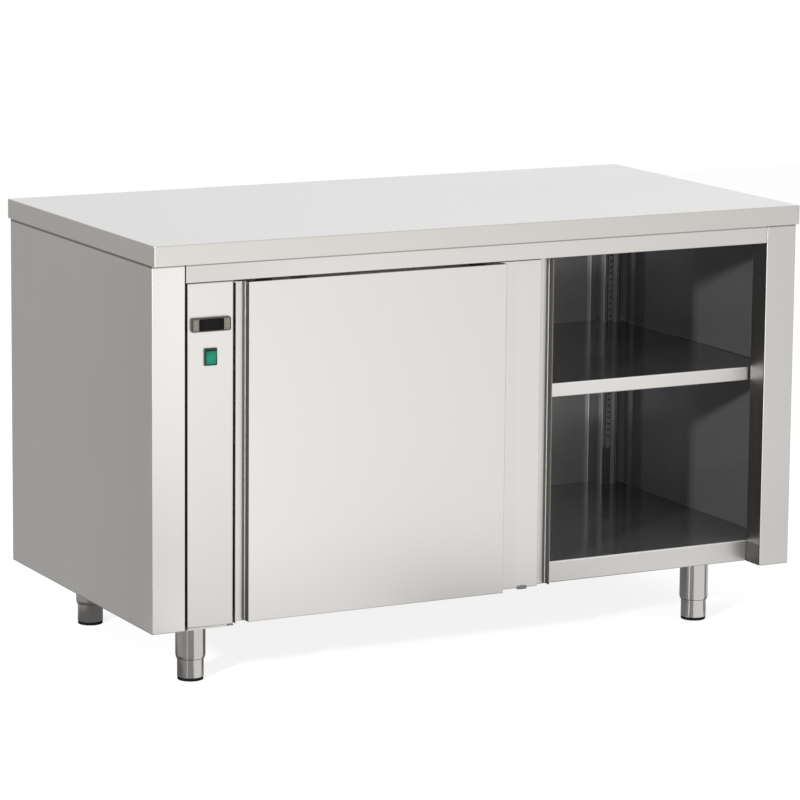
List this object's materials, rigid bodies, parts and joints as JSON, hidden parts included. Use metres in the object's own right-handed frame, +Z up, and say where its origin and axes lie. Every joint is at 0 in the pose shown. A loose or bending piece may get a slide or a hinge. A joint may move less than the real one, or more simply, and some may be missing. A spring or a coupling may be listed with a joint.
{
  "type": "plate warmer cabinet",
  "caption": "Heated stainless plate cabinet with sliding doors hung from a track, a loose shelf, a control column and adjustable feet.",
  "frame": {"origin": "centre of the footprint on the floor, under the middle of the worktop", "axes": "+X to the viewer's right along the length, +Y to the back, +Z up"},
  "size_m": [1.4, 0.72, 0.86],
  "materials": {
    "outer_steel": "brushed stainless sheet, grain along each panel",
    "inner_steel": "bright annealed stainless sheet, almost mirror-like",
    "track_aluminium": "satin drawn aluminium",
    "rubber": "matte black rubber",
    "white_nylon": "natural nylon",
    "black_plastic": "fine-grained black plastic",
    "key_grey": "soft olive-grey plastic",
    "green_lens": "clear tinted green plastic",
    "dark_window": "smoked polycarbonate",
    "mineral_wool": "pressed mineral wool",
    "board_wood": "raw chipboard",
    "element_steel": "heat-tinted steel sheath",
    "black_paint": "dark enamel"
  },
  "bodies": {
    "cabinet": {"worktop": "outer_steel", "left_side_panel": "outer_steel", "right_side_panel": "outer_steel", "back_panel": "outer_steel", "header": "outer_steel", "control_panel": "outer_steel", "bottom_pan": "outer_steel", "leg_sleeves": "outer_steel", "panel_bracket": "outer_steel", "ceiling_lining": "inner_steel", "back_lining": "inner_steel", "right_lining": "inner_steel", "partition": "inner_steel", "bottom_deck": "inner_steel", "left_upright": "inner_steel", "right_upright": "inner_steel", "rack_strips": "inner_steel", "shelf_clips": "inner_steel", "heater_housing": "inner_steel", "leg_bolts": "inner_steel", "door_track": "track_aluminium", "door_stops": "rubber", "terminal_block": "white_nylon", "door_guides": "black_plastic", "thermostat_case": "black_plastic", "switch_housing": "black_plastic", "cable_gland": "black_plastic", "thermostat_window": "dark_window", "insulation_slabs": "mineral_wool", "worktop_board": "board_wood", "heater_element": "element_steel", "fan_motor": "black_paint"},
    "foot_front_left": {"foot_front_left": "outer_steel", "foot_pad_front_left": "rubber"},
    "foot_front_right": {"foot_front_right": "outer_steel", "foot_pad_front_right": "rubber"},
    "foot_rear_left": {"foot_rear_left": "outer_steel", "foot_pad_rear_left": "rubber"},
    "foot_rear_right": {"foot_rear_right": "outer_steel", "foot_pad_rear_right": "rubber"},
    "front_door": {"front_door_skin": "outer_steel", "front_door_back": "outer_steel", "front_door_core": "mineral_wool", "front_door_hangers": "black_paint"},
    "rear_door": {"rear_door_skin": "outer_steel", "rear_door_back": "outer_steel", "rear_door_core": "mineral_wool", "rear_door_hangers": "black_paint"},
    "front_door_wheels_left": {"front_door_wheels_left": "white_nylon"},
    "front_door_wheels_right": {"front_door_wheels_right": "white_nylon"},
    "rear_door_wheels_left": {"rear_door_wheels_left": "white_nylon"},
    "rear_door_wheels_right": {"rear_door_wheels_right": "white_nylon"},
    "shelf": {"shelf": "inner_steel"},
    "fan": {"fan_wheel": "inner_steel"},
    "switch_rocker": {"switch_rocker": "green_lens"},
    "left_key": {"left_key": "key_grey"},
    "right_key": {"right_key": "key_grey"}
  },
  "joints": [
    {"name": "foot_front_left_height", "type": "slide", "parent": "cabinet", "child": "foot_front_left", "axis": [0, 0, -1], "range_m": [-0.015, 0.045]},
    {"name": "foot_front_right_height", "type": "slide", "parent": "cabinet", "child": "foot_front_right", "axis": [0, 0, -1], "range_m": [-0.015, 0.045]},
    {"name": "foot_rear_left_height", "type": "slide", "parent": "cabinet", "child": "foot_rear_left", "axis": [0, 0, -1], "range_m": [-0.015, 0.045]},
    {"name": "foot_rear_right_height", "type": "slide", "parent": "cabinet", "child": "foot_rear_right", "axis": [0, 0, -1], "range_m": [-0.015, 0.045]},
    {"name": "front_door_slide", "type": "slide", "parent": "cabinet", "child": "front_door", "axis": [1, 0, 0], "range_m": [0, 0.586]},
    {"name": "rear_door_slide", "type": "slide", "parent": "cabinet", "child": "rear_door", "axis": [1, 0, 0], "range_m": [-0.0865, 0.4695]},
    {"name": "front_door_wheels_left_roll", "type": "hinge", "parent": "front_door", "child": "front_door_wheels_left", "pos_m": [-0.469, -0.335, 0.8008], "axis": [0, 1, 0], "range_deg": [0, 3732]},
    {"name": "front_door_wheels_right_roll", "type": "hinge", "parent": "front_door", "child": "front_door_wheels_right", "pos_m": [-0.015, -0.335, 0.8008], "axis": [0, 1, 0], "range_deg": [0, 3732]},
    {"name": "rear_door_wheels_left_roll", "type": "hinge", "parent": "rear_door", "child": "rear_door_wheels_left", "pos_m": [-0.3825, -0.311, 0.8008], "axis": [0, 1, 0], "range_deg": [-552, 2990]},
    {"name": "rear_door_wheels_right_roll", "type": "hinge", "parent": "rear_door", "child": "rear_door_wheels_right", "pos_m": [0.1015, -0.311, 0.8008], "axis": [0, 1, 0], "range_deg": [-552, 2990]},
    {"name": "shelf_lift", "type": "slide", "parent": "cabinet", "child": "shelf", "axis": [0, 0, 1], "range_m": [0, 0.15]},
    {"name": "fan_spin", "type": "hinge", "parent": "cabinet", "child": "fan", "pos_m": [-0.58, 0, 0.43], "axis": [1, 0, 0], "continuous": true},
    {"name": "rocker_tilt", "type": "hinge", "parent": "cabinet", "child": "switch_rocker", "pos_m": [-0.582, -0.3445, 0.646], "axis": [1, 0, 0], "range_deg": [-14, 0]},
    {"name": "left_key_press", "type": "slide", "parent": "cabinet", "child": "left_key", "axis": [0, 1, 0], "range_m": [0, 0.0008], "stiffness_N_per_m": 400},
    {"name": "right_key_press", "type": "slide", "parent": "cabinet", "child": "right_key", "axis": [0, 1, 0], "range_m": [0, 0.0008], "stiffness_N_per_m": 400}
  ],
  "couplings": [
    {"joint": "front_door_wheels_left_roll", "follows": "front_door_slide", "rad_per_m": 111.11},
    {"joint": "front_door_wheels_right_roll", "follows": "front_door_slide", "rad_per_m": 111.11},
    {"joint": "rear_door_wheels_left_roll", "follows": "rear_door_slide", "rad_per_m": 111.11},
    {"joint": "rear_door_wheels_right_roll", "follows": "rear_door_slide", "rad_per_m": 111.11}
  ]
}
